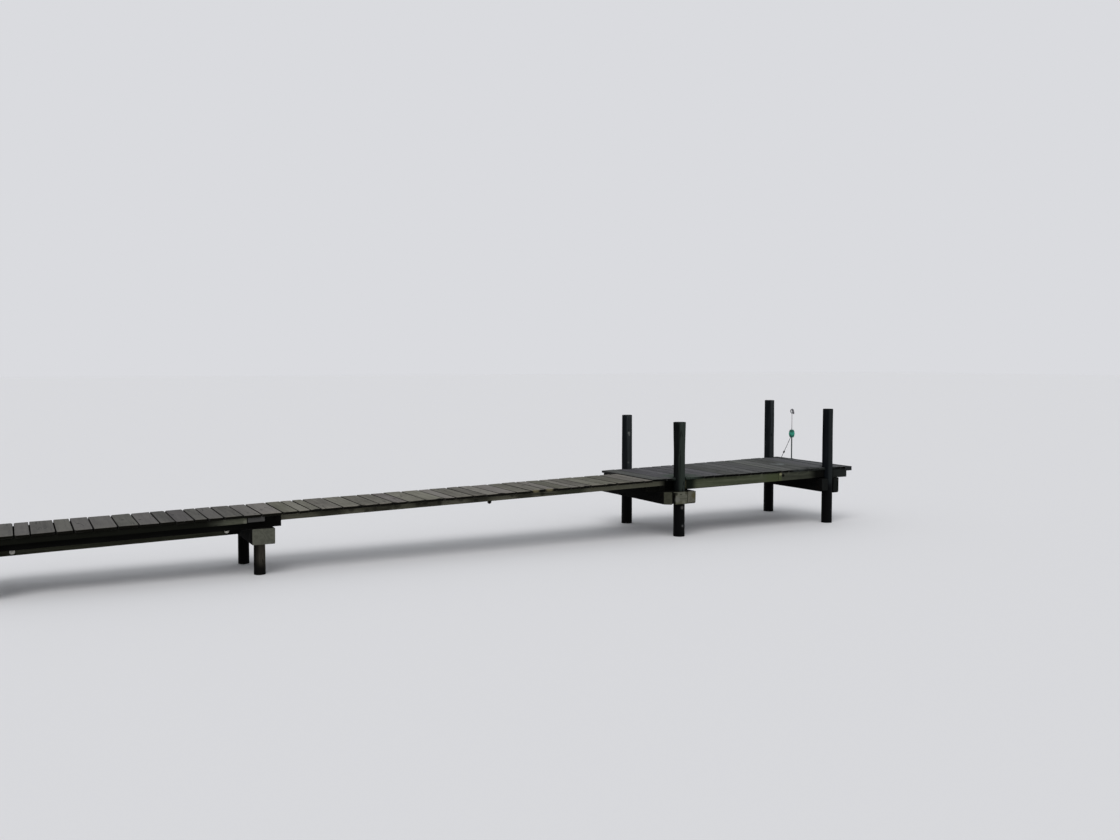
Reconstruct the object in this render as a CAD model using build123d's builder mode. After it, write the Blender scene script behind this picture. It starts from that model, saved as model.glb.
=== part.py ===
from build123d import *
import math
import os

# Wooden jetty: a narrow walkway in two bays climbs gently from the bank to a wider platform
# between four tall piles. Millimetres. +X runs from the bank to the lake, -Y is the side
# where the walkway and the platform share one straight edge, +Z is up, and Z = 0 is the
# level that every pile stands on. The origin is the middle of the jetty's footprint.

# Bays, from the middle of one pair of piles to the next
shore_overhang = 180.0
shore_bay = 2624.0
lake_bay = 5408.0
platform_bay = 2560.0
lake_overhang = 418.0
platform_lead = 427.0

# Deck boards
walkway_width = 910.0
platform_width = 1330.0
deck_height = 664.0
walkway_slope = 0.0202
platform_step = 6.0
platform_slope = 0.006
platform_cant_inner = 0.0027
platform_cant_outer = 0.0334
board_thickness = 28.0
board_bedding = 0.3
board_gap = 8.0
board_pitch = 184.0
board_shares = (1.20, 1.22, 0.79, 1.22, 0.87, 0.98, 1.22, 1.09, 1.09, 0.82, 1.03, 0.71,
                0.90, 1.09, 1.01, 1.25, 0.92, 0.73, 0.65, 1.30, 1.20, 1.11, 0.95, 0.87)
board_edge_wear = 3.0
board_notch_gap = 8.0
end_timber_width = 105.0
end_timber_thickness = 60.0
end_skew = 272.0

# Piles
pile_diameter = 145.0
pile_foot_diameter = 153.0
pile_edge = 5.0
pile_flat = 8.0
stout_pile_diameter = 150.0
flared_head_diameter = 169.0
flare_length = 400.0
near_pile_inset = 50.0
far_pile_outset = 15.0
inner_near_pile_lakeward = 12.0
inner_near_pile_height = 1508.0
inner_far_pile_height = 1544.0
outer_near_pile_height = 1629.0
outer_far_pile_height = 1710.0

# Low bents under the walkway
cap_width = 242.0
cap_lakeward = 6.0
cap_depth = 172.0
cap_near_reach = 50.0
cap_length = 940.0
arris = 8.0
low_pile_diameter = 123.0
low_pile_foot_diameter = 127.0
near_low_pile_inset = 105.0
near_low_pile_setback = 10.0
far_low_pile_inset = 815.0
far_low_pile_setback = 39.0

# Walkway timbers
timber_width = 38.0
side_board_inset = 22.0
side_board_depth = 60.0
side_cleat_depth = 54.0
side_joint_before_shore_bent = 145.0
side_cleat_past_shore_bent = 35.0
shore_stringer_depth = 124.0
stringer_housing = 4.0
shore_stringer_past_cap = 90.0
lake_stringer_depth = 67.0
lake_stringer_lap = 300.0
tie_beam_width = 75.0
tie_beam_depth = 158.0
tie_beam_rise = 3.0
tie_beam_inset = 725.0

# Cross beams, a pair to each pair of platform piles, with their reach past each platform edge
inner_shore_beam_width = 80.0
inner_lake_beam_width = 128.0
outer_shore_beam_width = 110.0
outer_lake_beam_width = 100.0
inner_beam_depth = 165.0
outer_shore_beam_depth = 185.0
outer_lake_beam_depth = 216.0
inner_shore_beam_near_reach = 75.0
inner_shore_beam_skew = 85.0
inner_shore_beam_far_reach = 330.0
inner_lake_beam_near_reach = 75.0
inner_lake_beam_far_reach = 170.0
outer_shore_beam_near_reach = 40.0
outer_shore_beam_far_reach = 150.0
outer_lake_beam_near_reach = 10.0
outer_lake_beam_far_reach = 170.0
beam_end_round = 32.0
packing_thickness = 114.0
packing_length = 90.0
chock_past_pile = 62.0
chock_shortfall = 8.0

# Bearers and fascia of the platform
bearer_width = 60.0
bearer_depth_inner = 149.0
bearer_depth_outer = 126.5
bearer_housing = 6.0
mid_bearer_inset = 600.0
bearer_end_setback = 77.0
fascia_depth_inner = 126.0
fascia_depth_lake = 102.0
fascia_splice = 1650.0
fascia_pile_gap = 15.0

# Line pole on the lake end of the platform
pole_inset = 1007.0
pole_setback = 55.0
pole_foot_diameter = 64.0
pole_foot_height = 12.0
pole_diameter = 18.0
pole_tip_diameter = 9.0
pole_stout_height = 447.0
pole_height = 687.0
eye_diameter = 68.0
eye_wire = 9.0
eye_collar = 14.0
reel_diameter = 92.0
reel_height = 120.0
reel_waist = 14.0
reel_centre_height = 385.0
stay_inset = 1222.0
stay_setback = 25.0
stay_diameter = 6.0
stay_bead_diameter = 26.0
stay_bead_share = 0.27
stay_bite = 12.0

# Stations along and across the jetty
length = shore_overhang + shore_bay + lake_bay + platform_bay + lake_overhang
x_shore_end = -length / 2
x_landing = x_shore_end + shore_overhang
x_shore = x_landing + shore_bay
x_inner = x_shore + lake_bay
x_outer = x_inner + platform_bay
x_tip = x_outer + lake_overhang
x_platform = x_inner - platform_lead
y_near = (inner_lake_beam_near_reach - platform_width - inner_shore_beam_far_reach) / 2
y_far = y_near + platform_width
pile_radius = pile_diameter / 2
pile_half = pile_radius - pile_flat
y_pile_near = y_near + near_pile_inset
y_pile_far = y_far + far_pile_outset
pile_places = {
    "inner_near": (x_inner + inner_near_pile_lakeward, y_pile_near),
    "inner_far": (x_inner, y_pile_far),
    "outer_near": (x_outer, y_pile_near),
    "outer_far": (x_outer, y_pile_far),
}
platform_height = deck_height + walkway_slope * (x_platform - x_shore) + platform_step
bearer_foot_inner = (
    platform_height + platform_slope * platform_lead - board_thickness - bearer_depth_inner
)
bearer_foot_outer = (
    platform_height + platform_slope * (x_outer - x_platform) - board_thickness - bearer_depth_outer
)
inner_beam_top = bearer_foot_inner + bearer_housing
outer_beam_top = bearer_foot_outer + bearer_housing

os.makedirs("parts", exist_ok=True)


def deck_top(x):
    """Top of the walkway's boards."""
    return deck_height + walkway_slope * (x - x_shore)


def platform_top(x, y):
    """Top of the platform's boards; their cant away from the near edge grows towards the lake."""
    twist = (platform_cant_outer - platform_cant_inner) / platform_bay
    cant = platform_cant_inner + twist * (x - x_inner)
    return platform_height + platform_slope * (x - x_platform) + cant * (y - y_near)


def platform_seat(x, y):
    """Top of what carries the platform's boards."""
    return platform_top(x, y) - board_thickness - board_bedding


def lake_edge(y):
    """Skewed lake end of the platform, furthest out at the near edge."""
    return x_tip - end_skew * (y - y_near) / platform_width


def cap_top(x_bent):
    """Top of a low bent's cap, let a little way into the shore stringers."""
    return deck_top(x_bent) - board_thickness - shore_stringer_depth + stringer_housing


def finish(piece, name):
    """Label a finished piece and write it out."""
    piece.part.label = name
    export_step(piece.part, f"parts/{name}.step")
    return piece.part


def elevation(corners, y):
    """A side elevation of a piece, given as (x, z) corners."""
    with BuildSketch(Plane.XZ.offset(-y)) as side:
        with BuildLine():
            Polyline(*corners, close=True)
        make_face()
    return side.sketch


def across_slab(corners, y_from, width):
    """Extrude a side elevation across the jetty."""
    extrude(elevation(corners, y_from), amount=-width)


def twisted_slab(corners_at, y_from, width):
    """Loft across the jetty between the two side elevations that corners_at(y) gives."""
    loft([elevation(corners_at(y), y) for y in (y_from, y_from + width)], ruled=True)


def walkway_timber(x_from, x_to, y_from, depth):
    """A sloping timber straight under the walkway's boards."""
    tops = [(x, deck_top(x) - board_thickness) for x in (x_from, x_to)]
    bottoms = [(x, z - depth) for x, z in reversed(tops)]
    across_slab(tops + bottoms, y_from, timber_width)


def board_corners(x_from, pitch, top):
    """Section along the jetty of a board with worn upper edges, laid along the deck's slope."""
    x_to = x_from + pitch - board_gap
    wear = board_edge_wear
    return [
        (x_from, top(x_from) - board_thickness),
        (x_to, top(x_to) - board_thickness),
        (x_to, top(x_to) - wear),
        (x_to - wear, top(x_to - wear)),
        (x_from + wear, top(x_from + wear)),
        (x_from, top(x_from) - wear),
    ]


def board_runs(x_from, x_to):
    """Start and pitch of each board; the last one fills what is left."""
    runs = []
    x = x_from
    while x < x_to:
        pitch = board_pitch * board_shares[len(runs) % len(board_shares)]
        if x_to - x < pitch + board_pitch / 3:
            pitch = x_to - x
        runs.append((x, pitch))
        x += pitch
    return runs


def level_beam(x_from, y_from, z_top, width, length_across, depth):
    """A level squared timber lying across the jetty, with its arrises taken off."""
    with BuildSketch(Plane.XZ.offset(-y_from)) as end_grain:
        with Locations((x_from + width / 2, z_top - depth / 2)):
            RectangleRounded(width, depth, arris)
    extrude(end_grain.sketch, amount=-length_across)


def worn_end(x_from, y_end, z_bottom, width, radius):
    """Round off the lower corner of a beam's near end."""
    with BuildSketch(Plane.YZ.offset(x_from)) as corner:
        with Locations((y_end, z_bottom)):
            Rectangle(radius, radius, align=(Align.MIN, Align.MIN))
        with Locations((y_end + radius, z_bottom + radius)):
            Circle(radius, mode=Mode.SUBTRACT)
    extrude(corner.sketch, amount=width, mode=Mode.SUBTRACT)


def skewed_end(x_from, y_end, width, skew):
    """Cut a beam's near end off on a skew, shortest on its bank side."""
    with BuildSketch(Plane.XY) as wedge:
        with BuildLine():
            Polyline((x_from, y_end), (x_from + width, y_end), (x_from, y_end + skew), close=True)
        make_face()
    extrude(wedge.sketch, amount=platform_height, mode=Mode.SUBTRACT)


def round_pile(x, y, top, foot_diameter, diameter, head_diameter=None):
    """A round pole that tapers from its foot, and may flare again below its sawn head."""
    base = (Align.CENTER, Align.CENTER, Align.MIN)
    stem = top - flare_length if head_diameter else top
    with Locations((x, y, 0)):
        Cone(foot_diameter / 2, diameter / 2, stem, align=base)
    if head_diameter:
        with Locations((x, y, stem)):
            Cone(diameter / 2, head_diameter / 2, flare_length, align=base)
    chamfer(faces().sort_by(Axis.Z)[-1].edges(), pile_edge)


def notch_for_piles():
    """Cut clear of the four tall piles, and straight out to the edge past the near ones."""
    notch = pile_radius + board_notch_gap
    with Locations([(x, y, 0) for x, y in pile_places.values()]):
        Cylinder(notch, 3 * platform_height, mode=Mode.SUBTRACT)
    with Locations([(pile_places[name][0], y_near, 0) for name in ("inner_near", "outer_near")]):
        Box(2 * notch, 2 * near_pile_inset, 3 * platform_height, mode=Mode.SUBTRACT)


# Low bents: two short piles under a squared cap, one at the bank and one at the water's edge
caps = {}
for bent, x_bent in {"landing": x_landing, "shore": x_shore}.items():
    with BuildPart() as cap:
        x_cap = x_bent + cap_lakeward - cap_width / 2
        y_cap = y_near - cap_near_reach
        level_beam(x_cap, y_cap, cap_top(x_bent), cap_width, cap_length, cap_depth)
    caps[bent] = finish(cap, f"{bent}_cap")
    low_pile_places = {
        "near": (x_bent - near_low_pile_setback, y_near + near_low_pile_inset),
        "far": (x_bent - far_low_pile_setback, y_near + far_low_pile_inset),
    }
    for side, (x_pile, y_pile) in low_pile_places.items():
        with BuildPart() as low_pile:
            low_pile_head = cap_top(x_bent) - cap_depth
            round_pile(x_pile, y_pile, low_pile_head, low_pile_foot_diameter, low_pile_diameter)
        finish(low_pile, f"{bent}_pile_{side}")

# Walkway timbers, laid side by side inwards from each edge: side board, shore stringer, lake stringer
rows = {
    "near": (y_near + side_board_inset, 1),
    "far": (y_near + walkway_width - side_board_inset - timber_width, -1),
}
shore_stringer_end = x_shore + cap_lakeward + cap_width / 2 + shore_stringer_past_cap
x_side_joint = x_shore - side_joint_before_shore_bent
x_inner_shore_beam = x_inner - pile_half - packing_thickness - inner_shore_beam_width
x_seat = x_inner_shore_beam + inner_shore_beam_width
for side, (y_row, inward) in rows.items():
    with BuildPart() as side_board:
        walkway_timber(x_shore_end + board_gap, x_side_joint - board_gap, y_row, side_board_depth)
    finish(side_board, f"side_board_{side}")
    with BuildPart() as side_cleat:
        walkway_timber(x_side_joint, x_shore + side_cleat_past_shore_bent, y_row, side_cleat_depth)
    finish(side_cleat, f"side_cleat_{side}")
    with BuildPart() as shore_stringer:
        y_shore_row = y_row + inward * timber_width
        walkway_timber(x_shore_end + board_gap, shore_stringer_end, y_shore_row, shore_stringer_depth)
        add(caps["landing"], mode=Mode.SUBTRACT)
        add(caps["shore"], mode=Mode.SUBTRACT)
    finish(shore_stringer, f"shore_stringer_{side}")
    with BuildPart() as lake_stringer:
        y_lake_row = y_row + 2 * inward * timber_width
        x_lap = shore_stringer_end - lake_stringer_lap
        walkway_timber(x_lap, x_seat, y_lake_row, lake_stringer_depth)
    finish(lake_stringer, f"lake_stringer_{side}")
    with BuildPart() as seat_block:
        block_ends = (x_inner_shore_beam, x_seat)
        block_tops = [(x, deck_top(x) - board_thickness - lake_stringer_depth) for x in block_ends]
        block_bottoms = [(x, inner_beam_top) for x in reversed(block_ends)]
        across_slab(block_tops + block_bottoms, y_lake_row, timber_width)
    finish(seat_block, f"stringer_seat_block_{side}")

# Tie beam between the two caps, low under the far side
with BuildPart() as tie_beam:
    tie_tops = [
        (x_landing + cap_lakeward + cap_width / 2, cap_top(x_landing) + tie_beam_rise),
        (x_shore + cap_lakeward - cap_width / 2, cap_top(x_shore) + tie_beam_rise),
    ]
    tie_bottoms = [(x, z - tie_beam_depth) for x, z in reversed(tie_tops)]
    across_slab(tie_tops + tie_bottoms, y_near + tie_beam_inset - tie_beam_width / 2, tie_beam_width)
finish(tie_beam, "tie_beam")

# Cross beams: one each side of a pair of piles. Their near ends have a rounded lower corner,
# apart from the inner pair's shore beam, which is sawn off on a skew
beams = {}
x_outer_shore_beam = x_outer - pile_half - outer_shore_beam_width
beam_reaches = {
    "inner_shore": (inner_shore_beam_near_reach, inner_shore_beam_far_reach),
    "inner_lake": (inner_lake_beam_near_reach, inner_lake_beam_far_reach),
    "outer_shore": (outer_shore_beam_near_reach, outer_shore_beam_far_reach),
    "outer_lake": (outer_lake_beam_near_reach, outer_lake_beam_far_reach),
}
beam_places = {
    "inner_shore": (x_inner_shore_beam, inner_beam_top, inner_shore_beam_width, inner_beam_depth),
    "inner_lake": (x_inner + pile_half, inner_beam_top, inner_lake_beam_width, inner_beam_depth),
    "outer_shore": (x_outer_shore_beam, outer_beam_top, outer_shore_beam_width, outer_shore_beam_depth),
    "outer_lake": (x_outer + pile_half, outer_beam_top, outer_lake_beam_width, outer_lake_beam_depth),
}
for name, (x_from, z_top, width, depth) in beam_places.items():
    near_reach, far_reach = beam_reaches[name]
    y_end = y_near - near_reach
    with BuildPart() as cross_beam:
        level_beam(x_from, y_end, z_top, width, near_reach + platform_width + far_reach, depth)
        if name == "inner_shore":
            skewed_end(x_from, y_end, width, inner_shore_beam_skew)
        else:
            worn_end(x_from, y_end, z_top - depth, width, beam_end_round)
    beams[name] = finish(cross_beam, f"cross_beam_{name}")

# Packing between the shore beam and the piles it stands off from, and the chock on the near pile
packings = {}
for side in ("near", "far"):
    x_pile, y_pile = pile_places[f"inner_{side}"]
    with BuildPart() as packing:
        with Locations((x_seat, y_pile, inner_beam_top)):
            Box(
                x_pile - pile_half - x_seat,
                packing_length,
                inner_beam_depth,
                align=(Align.MIN, Align.CENTER, Align.MAX),
            )
    packings[side] = finish(packing, f"packing_block_{side}")
with BuildPart() as chock:
    chock_length = 2 * pile_half + chock_past_pile
    chock_thickness = inner_lake_beam_near_reach + near_pile_inset - pile_half
    with Locations((x_inner + pile_half, y_pile_near - pile_half, inner_beam_top - chock_shortfall)):
        Box(chock_length, chock_thickness, inner_beam_depth - chock_shortfall, align=Align.MAX)
packings["chock"] = finish(chock, "pile_chock")

# End timber along the skewed lake end, flush with the boards
end_near, end_far, end_inward = (
    Vector(x, y, platform_top(x, y))
    for x, y in (
        (lake_edge(y_near), y_near),
        (lake_edge(y_far), y_far),
        (lake_edge(y_near) - end_timber_width, y_near),
    )
)
end_across = (end_near - end_inward).cross(end_far - end_near)
end_plane = Plane(end_near, x_dir=end_near - end_inward, z_dir=end_across)


def end_timber_top(x, y):
    """Top of the end timber."""
    rise = end_plane.z_dir
    return end_near.Z - (rise.X * (x - end_near.X) + rise.Y * (y - end_near.Y)) / rise.Z


with BuildPart() as end_timber:
    with BuildSketch(Plane.XY) as plan:
        with BuildLine():
            Polyline(
                (lake_edge(y_near), y_near),
                (lake_edge(y_far), y_far),
                (lake_edge(y_far) - end_timber_width, y_far),
                (lake_edge(y_near) - end_timber_width, y_near),
                close=True,
            )
        make_face()
    extrude(amount=platform_height + platform_width)
    split(bisect_by=end_plane, keep=Keep.BOTTOM)
    split(bisect_by=end_plane.offset(-end_timber_thickness), keep=Keep.TOP)
    notch_for_piles()
finish(end_timber, "end_timber")

# Bearers under the platform, with tapers and twisted tops that follow the boards, housed over
# the cross beams
bearer_rows = {
    "near": rows["near"][0] + 3 * timber_width,
    "middle": y_near + mid_bearer_inset,
    "far": y_pile_far - pile_half - bearer_width,
}
bearers = {}
for side, y_row in bearer_rows.items():
    x_start = x_platform + board_gap
    x_end = lake_edge(y_row + bearer_width) - bearer_end_setback

    def bearer_corners(y):
        """Side elevation of a bearer."""
        return [
            (x_start, platform_seat(x_start, y)),
            (x_end, platform_seat(x_end, y)),
            (x_end, bearer_foot_outer),
            (x_outer, bearer_foot_outer),
            (x_inner, bearer_foot_inner),
            (x_start, bearer_foot_inner),
        ]

    with BuildPart() as bearer:
        twisted_slab(bearer_corners, y_row, bearer_width)
        add(end_timber.part, mode=Mode.SUBTRACT)
        for beam in beams.values():
            add(beam, mode=Mode.SUBTRACT)
    bearers[side] = finish(bearer, f"bearer_{side}")

# Near fascia: two spliced lengths between the piles, and a block on the last beam beyond them
y_fascia = rows["near"][0]
x_fascia = pile_places["inner_near"][0] + stout_pile_diameter / 2 + fascia_pile_gap
fascia_splits = {
    "fascia_inner": (x_fascia, x_inner + fascia_splice),
    "fascia_outer": (x_inner + fascia_splice + board_gap / 2, x_outer - pile_radius - fascia_pile_gap),
    "fascia_end": (x_outer + pile_radius + fascia_pile_gap, lake_edge(y_near) - bearer_end_setback),
}
for name, x_ends in fascia_splits.items():

    def fascia_corners(y):
        """Side elevation of a length of fascia."""
        tops = [(x, platform_seat(x, y)) for x in x_ends]
        bottoms = []
        for x, z in reversed(tops):
            share = (x - x_inner) / (x_tip - x_inner)
            depth = fascia_depth_inner + share * (fascia_depth_lake - fascia_depth_inner)
            bottoms.append((x, outer_beam_top if name == "fascia_end" else z - depth))
        return tops + bottoms

    with BuildPart() as fascia:
        twisted_slab(fascia_corners, y_fascia, timber_width)
        add(end_timber.part, mode=Mode.SUBTRACT)
    finish(fascia, name)

# Tall piles, with flats where the beams, packing, chock and far bearer are bolted to them
pile_shapes = {
    "inner_near": (inner_near_pile_height, pile_foot_diameter, stout_pile_diameter, flared_head_diameter),
    "inner_far": (inner_far_pile_height, pile_foot_diameter, pile_diameter),
    "outer_near": (outer_near_pile_height, pile_foot_diameter, pile_diameter),
    "outer_far": (outer_far_pile_height, pile_foot_diameter, pile_diameter),
}
for name, shape in pile_shapes.items():
    with BuildPart() as tall_pile:
        round_pile(*pile_places[name], *shape)
        for seat in [*beams.values(), *packings.values(), bearers["far"]]:
            add(seat, mode=Mode.SUBTRACT)
    finish(tall_pile, f"pile_{name}")

# Walkway boards, in one straight run from the bank to the platform
walkway_runs = board_runs(x_shore_end, x_platform)
x_mid_lake_bay = (x_shore + x_inner) / 2
walkway_groups = {
    "shore_bay_boards": (x_shore_end, x_shore),
    "lake_bay_boards_inner": (x_shore, x_mid_lake_bay),
    "lake_bay_boards_outer": (x_mid_lake_bay, x_platform),
}
for name, (x_from, x_to) in walkway_groups.items():
    with BuildPart() as boards:
        for x, pitch in walkway_runs:
            if x_from <= x < x_to:
                across_slab(board_corners(x, pitch, deck_top), y_near, walkway_width)
    finish(boards, name)

# Platform boards, notched round the piles and cut off along the end timber
platform_runs = board_runs(x_platform, lake_edge(y_near) - end_timber_width)
x_mid_platform = (x_inner + x_outer) / 2
platform_groups = {
    "platform_boards_inner": (x_platform, x_mid_platform),
    "platform_boards_outer": (x_mid_platform, x_tip),
}
for name, (x_from, x_to) in platform_groups.items():
    with BuildPart() as boards:
        for x_board, pitch in platform_runs:
            if not x_from <= x_board < x_to:
                continue

            def platform_board_corners(y):
                """Section of this platform board at one place across the platform."""
                return board_corners(x_board, pitch, lambda x: platform_top(x, y))

            twisted_slab(platform_board_corners, y_near, platform_width)
        notch_for_piles()
        with BuildSketch(Plane.XY) as beyond:
            with BuildLine():
                Polyline(
                    (lake_edge(y_near) - end_timber_width - board_gap, y_near),
                    (lake_edge(y_far) - end_timber_width - board_gap, y_far),
                    (x_tip, y_far),
                    (x_tip, y_near),
                    close=True,
                )
            make_face()
        extrude(amount=2 * platform_height, mode=Mode.SUBTRACT)
    finish(boards, name)

# Line pole: a foot, a stout rod that tapers to a thin one, an eye, a wound reel and a stay
y_pole = y_near + pole_inset
x_pole = lake_edge(y_pole) - pole_setback
z_deck = end_timber_top(x_pole, y_pole)
with BuildPart() as line_pole:
    with BuildSketch(Plane((x_pole, y_pole, z_deck), x_dir=(1, 0, 0), z_dir=(0, -1, 0))) as half:
        with BuildLine():
            Polyline(
                (0, -pole_foot_height),
                (pole_foot_diameter / 2, -pole_foot_height),
                (pole_foot_diameter / 2, pole_foot_height / 2),
                (pole_diameter / 2, pole_foot_height),
                (pole_diameter / 2, pole_stout_height),
                (pole_tip_diameter / 2, pole_stout_height + pole_diameter),
                (pole_tip_diameter / 2, pole_height),
                (0, pole_height),
                close=True,
            )
        make_face()
    revolve(axis=Axis((x_pole, y_pole, 0), (0, 0, 1)))
    add(end_timber.part, mode=Mode.SUBTRACT)
finish(line_pole, "line_pole")

with BuildPart() as line_eye:
    with Locations((x_pole, y_pole, z_deck + pole_height)):
        Cylinder(eye_collar / 2, eye_wire, align=(Align.CENTER, Align.CENTER, Align.MIN))
    pole_head = Plane((x_pole, y_pole, z_deck + pole_height), x_dir=(1, 0, 0), z_dir=(0, -1, 0))
    with BuildSketch(pole_head) as ring:
        with Locations((0, eye_diameter / 2 + eye_wire / 2)):
            Circle(eye_diameter / 2)
            Circle(eye_diameter / 2 - eye_wire, mode=Mode.SUBTRACT)
    extrude(amount=eye_wire / 2, both=True)
finish(line_eye, "line_eye")

with BuildPart() as line_reel:
    with BuildSketch(Plane((x_pole, y_pole, z_deck), x_dir=(1, 0, 0), z_dir=(0, -1, 0))) as half:
        with BuildLine():
            bore = pole_diameter / 2
            rim = reel_diameter / 2 - reel_waist
            low = reel_centre_height - reel_height / 2
            high = reel_centre_height + reel_height / 2
            belly = reel_diameter / 2
            Polyline(
                (rim, high),
                (bore, high),
                (bore, low),
                (rim, low),
                (belly, reel_centre_height - reel_height / 6),
                (belly, reel_centre_height + reel_height / 6),
                close=True,
            )
        make_face()
    revolve(axis=Axis((x_pole, y_pole, 0), (0, 0, 1)))
finish(line_reel, "line_reel")

# The stay runs from the end timber up into the underside of the reel
y_stay = y_near + stay_inset
x_stay = lake_edge(y_stay) - stay_setback
stay_foot = Vector(x_stay, y_stay, end_timber_top(x_stay, y_stay))
towards_foot = Vector(x_stay - x_pole, y_stay - y_pole, 0).normalized()
stay_head = Vector(x_pole, y_pole, z_deck + low) + towards_foot * (bore + rim) / 2
stay_line = stay_head - stay_foot
with BuildPart() as line_stay:
    with BuildSketch(Plane(stay_foot, z_dir=stay_line).offset(-stay_diameter)):
        Circle(stay_diameter / 2)
    extrude(amount=stay_diameter + stay_line.length + stay_bite)
    with Locations(stay_foot + stay_line * stay_bead_share):
        Sphere(stay_bead_diameter / 2)
    add(line_reel.part, mode=Mode.SUBTRACT)
    add(end_timber.part, mode=Mode.SUBTRACT)
finish(line_stay, "line_stay")
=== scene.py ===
import math
import random

import bmesh
import bpy
from mathutils import Matrix, Vector, noise


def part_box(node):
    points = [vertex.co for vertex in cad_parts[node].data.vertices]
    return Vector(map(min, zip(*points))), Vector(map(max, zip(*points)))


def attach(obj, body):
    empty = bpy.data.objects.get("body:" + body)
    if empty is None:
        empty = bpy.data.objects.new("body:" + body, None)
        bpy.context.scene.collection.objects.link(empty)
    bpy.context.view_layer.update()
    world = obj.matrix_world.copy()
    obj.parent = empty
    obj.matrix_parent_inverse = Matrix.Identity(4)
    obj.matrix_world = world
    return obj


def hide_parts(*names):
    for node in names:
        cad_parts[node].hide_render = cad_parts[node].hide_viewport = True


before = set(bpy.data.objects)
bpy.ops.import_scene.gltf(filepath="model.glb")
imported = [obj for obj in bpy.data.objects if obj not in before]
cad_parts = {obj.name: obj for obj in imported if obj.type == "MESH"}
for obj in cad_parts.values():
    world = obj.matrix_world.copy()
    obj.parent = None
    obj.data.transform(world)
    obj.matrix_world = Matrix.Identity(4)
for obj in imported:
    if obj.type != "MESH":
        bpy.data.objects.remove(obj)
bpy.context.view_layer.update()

# Wooden jetty on round piles. Metres; +X from the bank to the lake, -Y the straight near side.
landing_bent = -5.415
shore_bent = -2.791
inner_bent = 2.617
outer_bent = 5.177
lake_tip = 5.595
near_edge = -0.7925
near_pile = -0.7425
far_pile = 0.5525
board_thickness = 0.028
walkway_height = 0.664
walkway_slope = 0.0202
platform_start = 2.190
platform_height = 0.77062
platform_slope = 0.006
platform_width = 1.330
cant_inner = 0.0027
cant_outer = 0.0334
end_skew = 0.272


def walkway_top(x):
    """Height of the walkway's boards."""
    return walkway_height + walkway_slope * (x - shore_bent)


def platform_top(x, y):
    """Height of the platform's boards, whose cant up to the far side grows towards the lake."""
    cant = cant_inner + (cant_outer - cant_inner) * (x - inner_bent) / (outer_bent - inner_bent)
    return platform_height + platform_slope * (x - platform_start) + cant * (y - near_edge)


# Finishes


def tint(red, green, blue):
    """A colour written as it shows on a screen, 0 to 255, turned into light."""
    shown = [level / 255 for level in (red, green, blue)]
    light = [
        level / 12.92 if level <= 0.04045 else ((level + 0.055) / 1.055) ** 2.4 for level in shown
    ]
    return (*light, 1.0)


def darker(tone, share):
    """A tone brought down to a share of itself."""
    return [level * share for level in tone]


class Shade:
    """A value, vector or colour on its way through a finish; sums on values add Math nodes."""

    def __init__(self, finish, socket):
        self.finish = finish
        self.socket = socket

    def sum(self, operation, first, second=0.0):
        return self.finish.node("ShaderNodeMath", {"operation": operation}, {0: first, 1: second})

    def __add__(self, other):
        return self.sum("ADD", self, other)

    def __sub__(self, other):
        return self.sum("SUBTRACT", self, other)

    def __rsub__(self, other):
        return self.sum("SUBTRACT", other, self)

    def __mul__(self, other):
        return self.sum("MULTIPLY", self, other)

    def __abs__(self):
        return self.sum("ABSOLUTE", self)

    __radd__ = __add__
    __rmul__ = __mul__

    def over(self, low, high):
        """0 up to low, 1 from high, and an easy slope between; low may be the larger."""
        ease = {"interpolation_type": "SMOOTHSTEP"}
        if low > high:
            return 1.0 - self.over(high, low)
        return self.finish.node("ShaderNodeMapRange", ease, {0: self, 1: low, 2: high})


class Wiring:
    """A set of nodes, and the one way that nodes are added to it."""

    def __init__(self, tree):
        self.tree = tree

    def feed(self, socket, value):
        """Link a shade to a socket, or set the socket to a plain value."""
        if isinstance(value, Shade):
            self.tree.links.new(value.socket, socket)
        else:
            socket.default_value = value

    def node(self, kind, settings=None, sockets=None, output=0):
        """Add a node: first its settings or stops, then what its sockets hold."""
        made = self.tree.nodes.new(kind)
        for name, value in (settings or {}).items():
            if name == "stops":
                while len(made.color_ramp.elements) < len(value):
                    made.color_ramp.elements.new(0.5)
                for stop, (at, colour) in zip(made.color_ramp.elements, value):
                    stop.position = at
                    stop.color = colour
            else:
                setattr(made, name, value)
        for name, value in (sockets or {}).items():
            self.feed(made.inputs[name], value)
        return Shade(self, made.outputs[output]) if len(made.outputs) else None


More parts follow.
